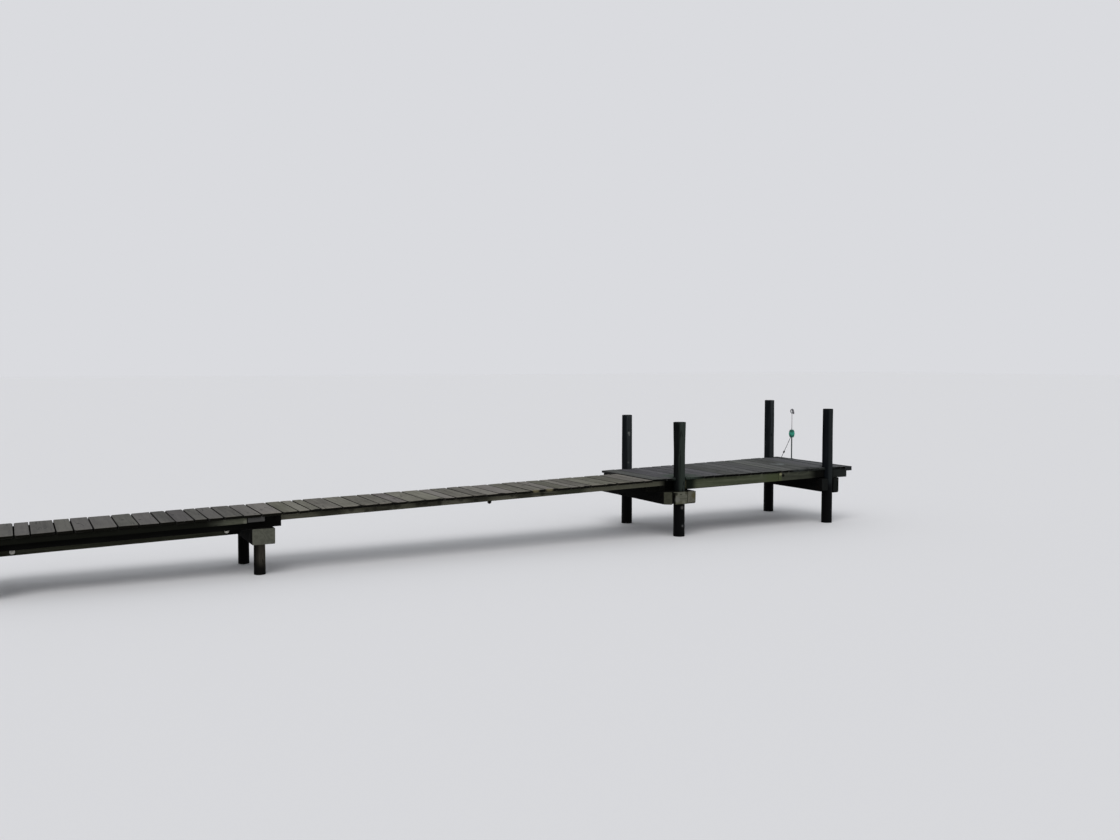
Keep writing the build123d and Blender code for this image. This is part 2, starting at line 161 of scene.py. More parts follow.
class Finish(Wiring):
    """One material, with its surface wired up as the maker goes along."""

    def __init__(self, name):
        self.material = bpy.data.materials.new(name)
        self.material.use_nodes = True
        super().__init__(self.material.node_tree)
        self.surface = self.tree.nodes["Principled BSDF"]
        self.place = self.node("ShaderNodeTexCoord", output="Object")
        self.normal = self.node("ShaderNodeTexCoord", output="Normal")

    def vectors(self, operation, one, other, output=0):
        """A sum on two vectors."""
        ways = {0: one, 1: other}
        return self.node("ShaderNodeVectorMath", {"operation": operation}, ways, output)

    def part(self, vector, axis):
        """The x, y or z of a vector."""
        return self.node("ShaderNodeSeparateXYZ", None, {0: vector}, "XYZ".index(axis.upper()))

    def stretched(self, scales, shift=None):
        """Places on the surface, stretched to suit a pattern, and moved far off by a shift."""
        where = self.vectors("MULTIPLY", self.place, scales)
        if shift is None:
            return where
        ways = {0: shift * 31.0, 1: shift * 57.0, 2: shift * 13.0}
        return self.vectors("ADD", where, self.node("ShaderNodeCombineXYZ", None, ways))

    def mottle(self, where, scale, detail, rough):
        """Soft uneven blotches, from 0 to 1."""
        sockets = {"Vector": where, "Scale": scale, "Detail": detail, "Roughness": rough}
        return self.node("ShaderNodeTexNoise", None, sockets, "Fac")

    def blend(self, amount, one, other):
        """One colour at 0, the other at 1."""
        ways = {0: amount, 6: one, 7: other}
        return self.node("ShaderNodeMix", {"data_type": "RGBA"}, ways, output=2)

    def toned(self, colour, amount, tone):
        """A colour with a tone, written 0 to 255, laid over it."""
        return self.blend(amount, colour, tint(*tone))

    def near(self, point, radius, soft):
        """0 from the radius of a point outwards, easing to 1 over a soft share of it."""
        gap = self.vectors("DISTANCE", self.place, point, "Value")
        return gap.over(radius, radius * (1 - soft))

    def relief(self, height, depth, strength):
        """Dents and ridges, depth deep in metres."""
        sockets = {"Strength": strength, "Distance": depth, "Height": height}
        return self.node("ShaderNodeBump", None, sockets)

    def wire(self, **sockets):
        """Feed the surface, and hand over the finished material."""
        for name, value in sockets.items():
            self.feed(self.surface.inputs[name.replace("_", " ")], value)
        return self.material


# Stretch of the grain and of the knots for timber that runs along each axis
grain_stretch = {"x": (1.1, 24.0, 24.0), "y": (24.0, 1.1, 24.0), "z": (24.0, 24.0, 1.1)}
knot_stretch = {"x": (3.0, 7.0, 7.0), "y": (7.0, 3.0, 7.0), "z": (7.0, 7.0, 3.0)}
unstretched = (1.0, 1.0, 1.0)

# Share of a timber's tone that each kind of wear, painted highlight and painted shade takes over
own_hue = 0.4
open_check = 0.75
dark_knot = 0.7
tip_wear_and_highlight = 0.55
gap_shade = 0.9
underside_shade_share = 0.8
wet_and_shaded_wood = 0.94

dry_roughness = 0.93
wood_shine = 0.05
grain_depth = 0.0035
greener = (0.98, 1.0, 0.90)
more_purple = (1.03, 0.98, 1.06)


def timber(
    name, grain, dark, mid, light, ends, each=0.0, knots=0.0, cut_at=0.8, edges=None, wet_and_shade=None,
    tips=None, painted_lit_side=None, fades=(), marks=(),
):
    """Sawn or round timber: streaks with the grain, fibres, drying checks, knots and end grain.

    each varies the tone from board to board; knots is their size; cut_at is how squarely a face
    has to cross the grain to show end grain, and ends is its tone; edges is the tone of the narrow
    faces between boards, painted shade in the gaps; wet_and_shade is (tone, height where it starts,
    height where it is full) of a dark foot, sodden wood and on some piles painted shade from the
    deck; tips is (axis, from, to, tone) along the top, wear with a painted highlight;
    painted_lit_side is (direction, tone, strength) of the side lightened with painted light; fades
    are (axis, from, to, tone, strength) along the piece; marks are (point, radius, tone, strength)
    patches such as stains, scars, droppings and painted shade.
    """
    finish = Finish(name)
    own = finish.node("ShaderNodeNewGeometry", output="Random Per Island") if each else None
    where = finish.stretched(grain_stretch[grain], own)
    streaks = finish.mottle(where, scale=1.0, detail=6.0, rough=0.62)
    fibres = finish.mottle(where, scale=6.5, detail=3.0, rough=0.6)
    patches = finish.mottle(finish.stretched(unstretched, own), scale=2.6, detail=4.0, rough=0.6)
    level = streaks * 0.75 + fibres * 0.35 + patches * 0.5 - 0.3
    if each:
        level = level + (own - 0.5) * each
    ramp = {"stops": [(0.2, tint(*dark)), (0.5, tint(*mid)), (0.82, tint(*light))]}
    colour = finish.node("ShaderNodeValToRGB", ramp, {0: level})

    # Boards turn a little greener or more purple, one by one
    if each:
        hue = finish.node("ShaderNodeMath", {"operation": "FRACT"}, {0: own * 7.3})
        tinged = [
            tint(*[part * share for part, share in zip(mid, mix)])
            for mix in (greener, more_purple)
        ]
        colour = finish.blend(own_hue, colour, finish.blend(hue, *tinged))

    # Painted light on the side that faces the given direction
    if painted_lit_side:
        direction, tone, strength = painted_lit_side
        facing_out = finish.vectors("DOT_PRODUCT", finish.normal, direction, "Value")
        lit_share = facing_out.over(-0.2, 0.35) * (0.55 + streaks * 0.9)
        colour = finish.toned(colour, lit_share * strength, tone)

    # Drying checks, where the fibres part along the grain
    half_grain = tuple(0.5 * scale for scale in grain_stretch[grain])
    lines = finish.mottle(finish.stretched(half_grain, own), scale=1.0, detail=2.0, rough=0.5)
    where_checked = patches.over(0.46, 0.62)
    checks = abs(lines - 0.5).over(0.012, 0.002) * where_checked
    colour = finish.toned(colour, checks * open_check, darker(dark, 0.35))
    height = streaks * 0.6 + fibres * 0.4 - checks * 1.2

    # Knots, drawn out a little with the grain
    if knots:
        ways = {"Vector": finish.stretched(knot_stretch[grain], own), "Scale": 1.0}
        spots = finish.node("ShaderNodeTexVoronoi", None, ways, "Distance")
        knot = spots.over(0.13 * knots, 0.07 * knots)
        colour = finish.toned(colour, knot * dark_knot, darker(mid, 0.45))
        height = height + knot * 0.5

    # Worn tips with a painted highlight, and tones that change along the piece
    if tips:
        axis, start, full, tone = tips
        along = finish.part(finish.place, axis)
        worn = along.over(start, full) * streaks.over(0.3, 0.62)
        colour = finish.toned(colour, worn * tip_wear_and_highlight, tone)
    for axis, start, full, tone, strength in fades:
        along = finish.part(finish.place, axis) + (patches - 0.5) * 0.5 * (full - start)
        colour = finish.toned(colour, along.over(start, full) * strength, tone)

    # End grain, with the saw's rings, and painted shade on the narrow faces between boards
    facing = abs(finish.part(finish.normal, grain))
    rings = finish.node("ShaderNodeMath", {"operation": "PINGPONG"}, {0: patches * 16.0, 1: 0.5})
    ringed = rings * 1.1 + (fibres - 0.5) * 0.8
    cut = finish.blend(ringed, tint(*darker(ends, 0.8)), tint(*ends))
    colour = finish.blend(facing.over(cut_at, cut_at + 0.12), colour, cut)
    if edges:
        narrow = abs(finish.part(finish.normal, "x")).over(0.2, 0.55)
        colour = finish.toned(colour, narrow * gap_shade, edges)

    # Painted shade on the undersides, and a dark, glossy foot: sodden wood, on some piles with
    # painted shade from the deck
    underside_shade = finish.part(finish.normal, "z").over(-0.4, -0.85)
    colour = finish.toned(colour, underside_shade * underside_shade_share, darker(dark, 0.3))
    gloss = dry_roughness - checks * 0.1
    if wet_and_shade:
        tone, start, full = wet_and_shade
        climb = finish.part(finish.place, "z") + (patches - 0.5) * 0.16
        wet_and_shaded = climb.over(start, full)
        colour = finish.toned(colour, wet_and_shaded * wet_and_shaded_wood, tone)
        gloss = gloss - wet_and_shaded * 0.3

    for point, radius, tone, strength in marks:
        ragged = finish.near(point, radius, 0.6) * (streaks + patches).over(0.7, 0.95)
        colour = finish.toned(colour, ragged * strength, tone)
    grain_relief = finish.relief(height, grain_depth, 0.55)
    return finish.wire(
        Base_Color=colour, Roughness=gloss, Normal=grain_relief, Specular_IOR_Level=wood_shine
    )


def plain_metal(name, clean, worn, rough, metal, shine=0.5):
    """Metal that has dulled outdoors, with blotches of rust or chalk."""
    finish = Finish(name)
    blotch = finish.mottle(finish.stretched(unstretched), scale=90.0, detail=5.0, rough=0.65)
    colour = finish.blend(blotch.over(0.42, 0.6), tint(*clean), tint(*worn))
    pits = finish.relief(blotch, depth=0.0006, strength=0.5)
    gloss = rough + (blotch - 0.5) * 0.3
    return finish.wire(
        Base_Color=colour, Roughness=gloss, Metallic=metal, Normal=pits, Specular_IOR_Level=shine
    )


# Where patches, scars, pale smears and painted shade are, and how far each reaches

side_face = near_edge + 0.022
stringer_face = near_edge + 0.098
beam_ends = near_edge - 0.075
stout_pile_front = near_pile - 0.076
far_pile_front = far_pile - 0.072
platform_level = 0.79

# Darker and paler patches on the platform's boards
deck_patches = [
    ((2.75, near_edge + 0.20, 0.78), 0.34, (66, 76, 68), 0.75),
    ((4.90, near_edge + 0.02, platform_level), 0.22, (38, 40, 39), 0.85),
    ((4.62, near_edge + 0.02, platform_level), 0.15, (54, 57, 56), 0.6),
    ((4.74, near_edge + 0.62, 0.81), 0.14, (116, 122, 124), 0.7),
]
pile_places = [(x, y) for x in (inner_bent, outer_bent) for y in (near_pile, far_pile)]
# Darker rings on the boards round each pile
for place in pile_places:
    deck_patches.append(((*place, platform_level), 0.17, (34, 40, 37), 0.7))
board_end_marks = [
    ((x, near_edge + 0.010, walkway_top(x)), 0.055, (14, 14, 12), 0.95)
    for x in (-2.19, -1.692, -1.306, -1.036, -0.939, -0.754, 0.05, 0.590, 0.778, 1.207, 1.55)
] + [
    ((x, near_edge + 0.02, walkway_top(x)), 0.06, (126, 119, 92), 0.5) for x in (0.50, 0.69)
]
# Dark blotches high on the lake stringer's face: painted shade from the boards above
stringer_shade_marks = [
    ((x, stringer_face, walkway_top(x) - depth), radius, (26, 26, 21), 0.6)
    for x, depth, radius in (
        (-1.78, 0.04, 0.05), (-1.60, 0.08, 0.04), (-1.50, 0.035, 0.05), (-1.24, 0.04, 0.06),
        (-0.99, 0.05, 0.04), (-0.90, 0.035, 0.05), (-0.72, 0.06, 0.04), (-0.45, 0.035, 0.05),
        (0.22, 0.04, 0.04), (0.63, 0.06, 0.04), (-2.02, 0.05, 0.22), (-1.42, 0.05, 0.20),
        (-0.86, 0.05, 0.24), (-0.22, 0.05, 0.20), (0.38, 0.05, 0.16),
    )
]
chock_marks = [
    ((2.52, beam_ends, 0.50), 0.05, (108, 108, 102), 0.7),
    ((2.50, beam_ends, 0.575), 0.03, (24, 24, 18), 0.8),
    ((2.62, beam_ends, 0.46), 0.04, (112, 112, 100), 0.6),
    ((2.66, beam_ends, 0.58), 0.03, (50, 50, 38), 0.7),
]
far_pile_scars = [
    ((2.607, far_pile_front, 1.289), 0.026, (104, 106, 105), 0.9),
    ((2.612, far_pile_front, 1.262), 0.018, (104, 106, 105), 0.8),
    ((2.600, far_pile_front, 0.87), 0.020, (76, 80, 78), 0.9),
]
stout_pile_scars = [
    ((2.628, stout_pile_front, 0.385), 0.030, (88, 86, 84), 0.85),
    ((2.636, stout_pile_front, 0.142), 0.022, (84, 84, 86), 0.8),
]

# Finishes of the timbers: dark, middle and light tones of their faces, then their end grain's

# Board ends near black on both decks: darker end grain with painted shade on top
deck_finish = timber(
    "silvered_deck_boards", "y", (62, 61, 58), (111, 109, 104), (140, 138, 131), (17, 16, 12),
    each=0.36, knots=1.0, edges=(14, 14, 13),
    tips=("y", near_edge + 0.14, near_edge + 0.02, (124, 119, 110)),
    fades=[("x", -2.3, -3.5, (58, 60, 64), 0.46)], marks=board_end_marks,
)
platform_finish = timber(
    "silvered_platform_boards", "y", (54, 54, 55), (84, 85, 86), (108, 109, 109), (6, 6, 5),
    each=0.34, knots=1.0, edges=(36, 36, 35),
    tips=("y", near_edge + 0.12, near_edge + 0.02, (88, 89, 86)),
    fades=[("x", 4.6, 5.3, (92, 95, 97), 0.4)], marks=deck_patches,
)
end_timber_finish = timber(
    "silvered_end_timber", "y", (38, 40, 40), (60, 62, 63), (88, 90, 91), (44, 46, 47), knots=1.0,
)
side_board_finish = timber(
    "pale_side_boards", "x", (52, 53, 43), (82, 83, 72), (104, 104, 94), (48, 48, 40), knots=1.0,
    fades=[("x", shore_bent - 0.26, shore_bent - 0.60, (13, 14, 10), 0.97)],
    marks=[((shore_bent - 0.165, side_face, 0.585), 0.04, (112, 112, 100), 0.8)],
)
side_cleat_finish = timber(
    "weathered_side_cleats", "x", (48, 48, 46), (74, 73, 72), (98, 97, 96), (20, 20, 18),
)
# Shore stringers near black: painted shade under the boards' overhang
shore_stringer_finish = timber(
    "dark_shore_stringers", "x", (4, 4, 3), (9, 9, 8), (19, 19, 16), (12, 12, 10), knots=0.7,
)
lake_stringer_finish = timber(
    "olive_lake_stringers", "x", (52, 52, 42), (82, 81, 69), (108, 106, 94), (40, 40, 34),
    knots=0.9, marks=stringer_shade_marks,
    fades=[
        ("x", 0.75, 0.95, (50, 55, 43), 0.7),
        ("x", 1.15, 1.3, (98, 97, 84), 0.85),
        ("x", 2.34, 2.46, (6, 6, 5), 0.97),
    ],
)
fascia_green_finish = timber(
    "green_inner_fascia", "x", (42, 46, 34), (74, 78, 62), (102, 105, 90), (120, 119, 96),
    knots=1.0,
    fades=[("x", 2.92, 2.80, (10, 16, 12), 0.95), ("x", 3.95, 4.15, (62, 69, 45), 0.7)],
)
fascia_grey_finish = timber(
    "grey_outer_fascia", "x", (38, 40, 34), (62, 64, 55), (86, 87, 78), (54, 55, 48), knots=0.9,
    fades=[("x", 4.34, 4.31, (70, 76, 52), 0.9), ("x", 4.78, 4.95, (7, 7, 6), 0.97)],
    marks=[
        ((4.305, side_face, 0.738), 0.028, (134, 131, 104), 0.95),
        ((4.352, side_face, 0.715), 0.03, (5, 5, 5), 1.0),
    ],
)
fascia_end_finish = timber(
    "dark_end_block", "x", (22, 24, 23), (37, 40, 39), (54, 56, 54), (46, 48, 46),
)
bearer_finish = timber(
    "shaded_bearers", "x", (5, 5, 4), (12, 12, 10), (24, 24, 20), (20, 20, 17), knots=0.8,
)
tie_finish = timber(
    "olive_tie_beam", "x", (32, 33, 26), (60, 61, 50), (86, 86, 73), (48, 48, 41), knots=0.9,
    fades=[("x", shore_bent - 0.30, shore_bent - 0.20, (7, 7, 6), 0.95)],
)
# Caps: the near-black sides are painted shade from the deck, and the pale ends are painted light
cap_finish = timber(
    "squared_caps", "y", (4, 4, 3), (10, 10, 9), (20, 20, 17), (96, 97, 87), knots=0.8,
)
# Inner cross beams: the near-black faces are painted shade from the deck, and the pale ends are
# painted light
shore_beam_finish = timber(
    "squared_shore_beam", "y", (3, 3, 3), (9, 9, 8), (19, 19, 16), (70, 70, 59), knots=0.8,
    cut_at=0.5,
)
lake_beam_finish = timber(
    "squared_lake_beam", "y", (3, 3, 3), (9, 9, 8), (19, 19, 16), (104, 103, 91), knots=0.8,
    cut_at=0.5, fades=[("x", 2.694, 2.684, (30, 30, 24), 0.9)],
    marks=[((2.775, beam_ends, 0.545), 0.055, (76, 71, 48), 0.75)],
)
# Outer cross beams: near black all over, painted shade from the deck
outer_beam_finish = timber(
    "squared_outer_beams", "y", (3, 3, 3), (8, 8, 8), (17, 17, 16), (26, 28, 27), knots=0.8,
)
chock_finish = timber(
    "olive_pile_chock", "x", (60, 60, 50), (90, 90, 80), (108, 108, 98), (26, 26, 21), knots=0.6,
    fades=[("x", 2.669, 2.679, (30, 30, 24), 0.9), ("z", 0.500, 0.450, (78, 78, 60), 0.6)],
    marks=chock_marks,
)

# Piles black below the beams: sodden wood, with painted shade from the deck on top; low piles dark
# only at the foot
wet_and_shaded_black = ((3, 3, 4), 0.64, 0.52)
wet_foot = ((4, 4, 4), 0.20, 0.06)
# The side of each pile that faces this way gets painted light
painted_light_direction = (0.825, -0.565, 0.0)
far_pile_finish = timber(
    "grey_black_far_piles", "z", (8, 10, 12), (18, 21, 24), (32, 35, 38), (34, 36, 35), knots=0.8,
    wet_and_shade=wet_and_shaded_black, painted_lit_side=(painted_light_direction, (54, 58, 60), 0.72), marks=far_pile_scars,
)
lake_pile_finish = timber(
    "green_black_lake_pile", "z", (5, 6, 8), (12, 15, 18), (25, 28, 31), (30, 32, 31), knots=0.8,
    wet_and_shade=wet_and_shaded_black, painted_lit_side=(painted_light_direction, (41, 45, 46), 0.64),
)
stout_pile_finish = timber(
    "green_grey_stout_pile", "z", (6, 7, 7), (14, 16, 16), (28, 31, 30), (30, 32, 31), knots=0.8,
    wet_and_shade=wet_and_shaded_black, painted_lit_side=(painted_light_direction, (52, 59, 54), 0.74), marks=stout_pile_scars,
)
low_pile_finish = timber(
    "brown_low_piles", "z", (10, 10, 8), (24, 23, 20), (40, 38, 33), (50, 48, 42), knots=0.8,
    wet_and_shade=wet_foot, painted_lit_side=(painted_light_direction, (66, 63, 56), 0.75),
)
shaded_pile_finish = timber(
    "shaded_low_piles", "z", (4, 4, 4), (9, 9, 8), (18, 18, 15), (20, 20, 17), knots=0.8,
    wet_and_shade=wet_foot,
)
rusted = plain_metal("rusted_nails", (66, 60, 56), (84, 54, 38), 0.72, 0.3)
rusted_black = plain_metal("rusted_black_bolts", (9, 8, 7), (16, 12, 9), 0.85, 0.0, shine=0.05)
washer_grey = plain_metal("pale_washers", (232, 231, 222), (196, 192, 180), 0.6, 0.0)


# Worn timber, made from the squared or round solids

# Random wear falls alike each time: one seed, and corners and faces in a fixed order
noise.seed_set(7)
row_order = Vector((1.0, 0.0371, 0.00519))
weld_gap = 0.00002
flat_bend = math.radians(0.6)


def pieces_of(solid):
    """The separate solids of a mesh from the bank on, each as a list of its corners."""
    left = set(solid.verts)
    found = []
    for start in solid.verts:
        if start not in left:
            continue
        left.remove(start)
        group = [start]
        for corner in group:
            for edge in corner.link_edges:
                other = edge.other_vert(corner)
                if other in left:
                    left.remove(other)
                    group.append(other)
        found.append(group)
    return sorted(found, key=lambda group: min(corner.co.x for corner in group))


def solid_of(node):
    """A node's solids with clean flat faces."""
    solid = bmesh.new()
    solid.from_mesh(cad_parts[node].data)
    bmesh.ops.remove_doubles(solid, verts=solid.verts, dist=weld_gap)
    bmesh.ops.dissolve_limit(
        solid, angle_limit=flat_bend, verts=solid.verts, edges=solid.edges,
        use_dissolve_boundaries=False,
    )
    return solid


def wear_edges(solid, wear, sharper=35):
    """Take the edges off that turn by more than sharper degrees, as weather does."""
    bend = math.radians(sharper)
    sharp = [
        edge for edge in solid.edges if len(edge.link_faces) == 2 and edge.calc_face_angle(0) > bend
    ]
    bmesh.ops.bevel(
        solid, geom=sharp, offset=wear, segments=2, profile=0.6, affect="EDGES", clamp_overlap=True
    )


def slice_at(solid, spot, square):
    """Divide the faces of a solid where a plane through a spot crosses them."""
    everything = [*solid.verts, *solid.edges, *solid.faces]
    bmesh.ops.bisect_plane(solid, geom=everything, plane_co=spot, plane_no=square)


def cross_cuts(solid, axis, step):
    """Divide a timber along its length, so that it can bend and swell."""
    along = "xyz".index(axis)
    spots = [corner.co[along] for corner in solid.verts]
    count = max(2, round((max(spots) - min(spots)) / step))
    square = Vector([1.0 if i == along else 0.0 for i in range(3)])
    for cut in range(1, count):
        at = min(spots) + (max(spots) - min(spots)) * cut / count
        slice_at(solid, square * at, square)


def keep_inside(solid, node):
    """Bring corners that stray out of a node's box back to it."""
    low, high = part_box(node)
    for corner in solid.verts:
        corner.co = [
            min(max(spot, least), most) for spot, least, most in zip(corner.co, low, high)
        ]


def show(solid, name, slot, finish, *nodes, smooth=38):
    """Turn worked solids into a piece of the jetty, in place of any nodes that are named."""
    mesh = bpy.data.meshes.new(name)
    bmesh.ops.recalc_face_normals(solid, faces=solid.faces)
    solid.verts.sort(key=lambda corner: corner.co.dot(row_order))
    solid.faces.sort(key=lambda face: face.calc_center_median().dot(row_order))
    solid.to_mesh(mesh)
    solid.free()
    mesh.polygons.foreach_set("use_smooth", [True] * len(mesh.polygons))
    mesh.set_sharp_from_angle(angle=math.radians(smooth))
    mesh.materials.append(finish)
    piece = bpy.data.objects.new(name, mesh)
    bpy.context.scene.collection.objects.link(piece)
    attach(piece, "root")
    if nodes:
        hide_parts(*nodes)


def sawn_timber(node, slot, finish, axis, wear=0.004, rough=0.0014, step=0.16):
    """A squared timber with worn edges and faces that aren't quite flat."""
    solid = solid_of(node)
    wear_edges(solid, wear)
    cross_cuts(solid, axis, step)
    # Each timber has an unevenness of its own
    seed = Vector((len(node) * 3.1, ord(node[-1]) * 0.7, ord(node[0]) * 0.3))
    for corner in solid.verts:
        corner.co += noise.noise_vector(corner.co * 4.0 + seed) * rough
    keep_inside(solid, node)
    show(solid, f"worn_{node}", slot, finish, node)


# Half the width of a pile's drying split, the heart that keeps its shape, and the thin slices at
# both ends whose corners belong to the head or the foot
split_half_width = 0.004
pile_heart = 0.06
end_slice = 0.0005


def weathered_pile(node, finish, splits=3):
    """A round pole with swells, drying splits that run down from its head, and a worn head."""
    low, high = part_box(node)
    middle = (low + high) / 2
    pick = random.Random(node)
    solid = solid_of(node)
    cross_cuts(solid, "z", 0.055)
    splits_at = [
        (pick.uniform(0, math.tau), pick.uniform(0.004, 0.009), pick.uniform(0.35, 1.1))
        for _ in range(splits)
    ]
    seed = Vector((pick.uniform(0, 50), pick.uniform(0, 50), pick.uniform(0, 50)))
    for corner in solid.verts:
        out = Vector((corner.co.x - middle.x, corner.co.y - middle.y, 0))
        reach = out.length
        if reach < pile_heart:
            continue
        out.normalize()
        turn = math.atan2(out.y, out.x)
        swell = noise.noise(Vector((out.x * 1.3, out.y * 1.3, corner.co.z * 2.2)) + seed)
        ripple = noise.noise(Vector((out.x * 5.0, out.y * 5.0, corner.co.z * 5.0)) + seed)
        sink = 0.0016 + 0.0016 * swell + 0.0008 * ripple
        for angle, depth, length in splits_at:
            wander = angle + 0.10 * noise.noise(Vector((0, depth * 900, corner.co.z * 3.0)))
            away = abs((turn - wander + math.pi) % math.tau - math.pi) * reach
            fade = 1 - (high.z - corner.co.z) / length
            if away < split_half_width and fade > 0:
                sink += depth * (1 - away / split_half_width) * min(1.0, fade * 2)
        corner.co -= out * sink
    for corner in solid.verts:
        if corner.co.z > high.z - end_slice:
            corner.co.z -= 0.002 + 0.002 * noise.noise(corner.co * 30.0)
        elif corner.co.z < low.z + end_slice:
            corner.co.z = low.z
    show(solid, f"weathered_{node}", "pile", finish, node, smooth=30)


def laid_boards(node, finish, shrinkage):
    """Deck boards one by one: worn edges, broken corners, uneven ends, a little cup and wind.

    Hands back the low and high corner of each board's box, as it was before the board warped.
    """
    pick = random.Random(node)
    solid = solid_of(node)
    wear_edges(solid, 0.0036, sharper=25)
    cross_cuts(solid, "y", 0.1)
    low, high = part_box(node)
    corner_depth = 0.04
    for y in (low.y + corner_depth, high.y - corner_depth):
        slice_at(solid, (0, y, 0), (0, 1, 0))
    boards = []
    for corners in pieces_of(solid):
        lows = Vector([min(corner.co[i] for corner in corners) for i in range(3)])
        highs = Vector([max(corner.co[i] for corner in corners) for i in range(3)])
        boards.append((lows, highs))
        centre = (lows + highs) / 2
        half = (highs - lows) / 2
        ends = (pick.uniform(0.0, 0.010), pick.uniform(-0.018, 0.0))
        cup = pick.uniform(-0.0012, 0.0016)
        wind = pick.uniform(-0.0012, 0.0012)
        lift = pick.uniform(0.0, 0.0028)
        slip = pick.uniform(-0.0020, 0.0020)
        shrink = pick.uniform(0.0, shrinkage)
        broken = {key: 0.018 * pick.random() ** 2 for key in ((-1, -1), (-1, 1), (1, -1), (1, 1))}
        for corner in corners:
            across = (corner.co.x - centre.x) / half.x
            along = (corner.co.y - centre.y) / half.y
            corner.co.z += lift + cup * (across * across - 0.5) + wind * across * along
            corner.co.x += slip * along - shrink * (corner.co.x - centre.x)
            side, end = (1 if across > 0 else -1), (1 if along > 0 else -1)
            past = max(0.0, abs(corner.co.y - centre.y) - half.y + corner_depth) / corner_depth
            corner.co.x -= side * broken[side, end] * past**2 * abs(across) ** 4
            corner.co.y += ends[0] * max(0.0, -along) ** 6 + ends[1] * max(0.0, along) ** 6
            corner.co.z += 0.0007 * noise.noise(corner.co * 9.0)
    keep_inside(solid, node)
    show(solid, f"laid_{node}", "deck_board", finish, node, smooth=30)
    return boards


weathered_pile("pile_inner_near", stout_pile_finish, splits=4)
weathered_pile("pile_outer_near", lake_pile_finish, splits=4)
for pile in ("inner_far", "outer_far"):
    weathered_pile(f"pile_{pile}", far_pile_finish, splits=4)
for bent in ("landing", "shore"):
    weathered_pile(f"{bent}_pile_near", low_pile_finish)
    weathered_pile(f"{bent}_pile_far", shaded_pile_finish)
    sawn_timber(f"{bent}_cap", "beam", cap_finish, "y", wear=0.003, rough=0.002)
for side in ("near", "far"):
    sawn_timber(f"side_board_{side}", "stringer", side_board_finish, "x")
    sawn_timber(f"side_cleat_{side}", "stringer", side_cleat_finish, "x", step=0.05)
    sawn_timber(f"shore_stringer_{side}", "stringer", shore_stringer_finish, "x")
    sawn_timber(f"lake_stringer_{side}", "stringer", lake_stringer_finish, "x")
    sawn_timber(f"stringer_seat_block_{side}", "stringer", bearer_finish, "x", step=0.05)
    sawn_timber(f"packing_block_{side}", "beam", bearer_finish, "y", step=0.05)
sawn_timber("tie_beam", "beam", tie_finish, "x")
sawn_timber("pile_chock", "beam", chock_finish, "x", wear=0.008, rough=0.0035, step=0.03)
sawn_timber("cross_beam_inner_shore", "beam", shore_beam_finish, "y", wear=0.006, rough=0.0025)
sawn_timber(
    "cross_beam_inner_lake", "beam", lake_beam_finish, "y", wear=0.009, rough=0.004, step=0.06
)
for beam in ("outer_shore", "outer_lake"):
    sawn_timber(f"cross_beam_{beam}", "beam", outer_beam_finish, "y", wear=0.006, rough=0.0025)
for row in ("near", "middle", "far"):
    sawn_timber(f"bearer_{row}", "stringer", bearer_finish, "x")
sawn_timber("fascia_inner", "stringer", fascia_green_finish, "x")
sawn_timber("fascia_outer", "stringer", fascia_grey_finish, "x")
sawn_timber("fascia_end", "stringer", fascia_end_finish, "x", step=0.05)
sawn_timber("end_timber", "deck_board", end_timber_finish, "y", wear=0.005, rough=0.002, step=0.12)

walkway_boards = []
for stretch in ("shore_bay_boards", "lake_bay_boards_inner", "lake_bay_boards_outer"):
    walkway_boards += laid_boards(stretch, deck_finish, shrinkage=0.035)
platform_boards = []
for stretch in ("platform_boards_inner", "platform_boards_outer"):
    platform_boards += laid_boards(stretch, platform_finish, shrinkage=0.008)


# Nails and bolts

# A nail's way from the middle of its board as a share of the board's width, the least wood beyond
# a row of nails, and how near the middle of a pile no board is left to nail
nail_share = 0.29
nail_margin = 0.03
pile_notch = 0.09


def disc(solid, seat, sides, radius, top_radius, thick):
    """A round, or a nut when it has six sides, with its middle at the seat."""
    bmesh.ops.create_cone(
        solid, cap_ends=True, segments=sides, radius1=radius, radius2=top_radius, depth=thick,
        matrix=seat,
    )


def nail_heads(name, boards, rows, top, blocked=()):
    """Two round nail heads where each board crosses a timber under it, but none in a notch."""
    pick = random.Random(name)
    heads = bmesh.new()
    for low, high in boards:
        for start, stop, row in rows:
            middle = (low.x + high.x) / 2
            if not start < middle < stop or not low.y + nail_margin < row < high.y - nail_margin:
                continue
            for side in (-nail_share, nail_share):
                x = middle + side * (high.x - low.x) + pick.uniform(-0.008, 0.008)
                y = row + pick.uniform(-0.009, 0.009)
                if any(math.dist((x, y), pile) < pile_notch for pile in blocked):
                    continue
                at = Matrix.Translation((x, y, top(x, y) - 0.0006))
                tilt = Matrix.Rotation(pick.uniform(-0.12, 0.12), 4, "X")
                disc(heads, at @ tilt, sides=10, radius=0.0052, top_radius=0.0040, thick=0.0034)
    show(heads, name, "pole_metal", rusted)


def row_over(node):
    """Where a timber runs, and the line of nails above it."""
    low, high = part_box(node)
    return low.x, high.x, (low.y + high.y) / 2


walkway_rows = [
    row_over(f"{bay}_stringer_{side}") for bay in ("shore", "lake") for side in ("near", "far")
]
platform_rows = [row_over(f"bearer_{row}") for row in ("near", "middle", "far")]
nail_heads("walkway_nails", walkway_boards, walkway_rows, lambda x, y: walkway_top(x))
nail_heads("platform_nails", platform_boards, platform_rows, platform_top, pile_places)


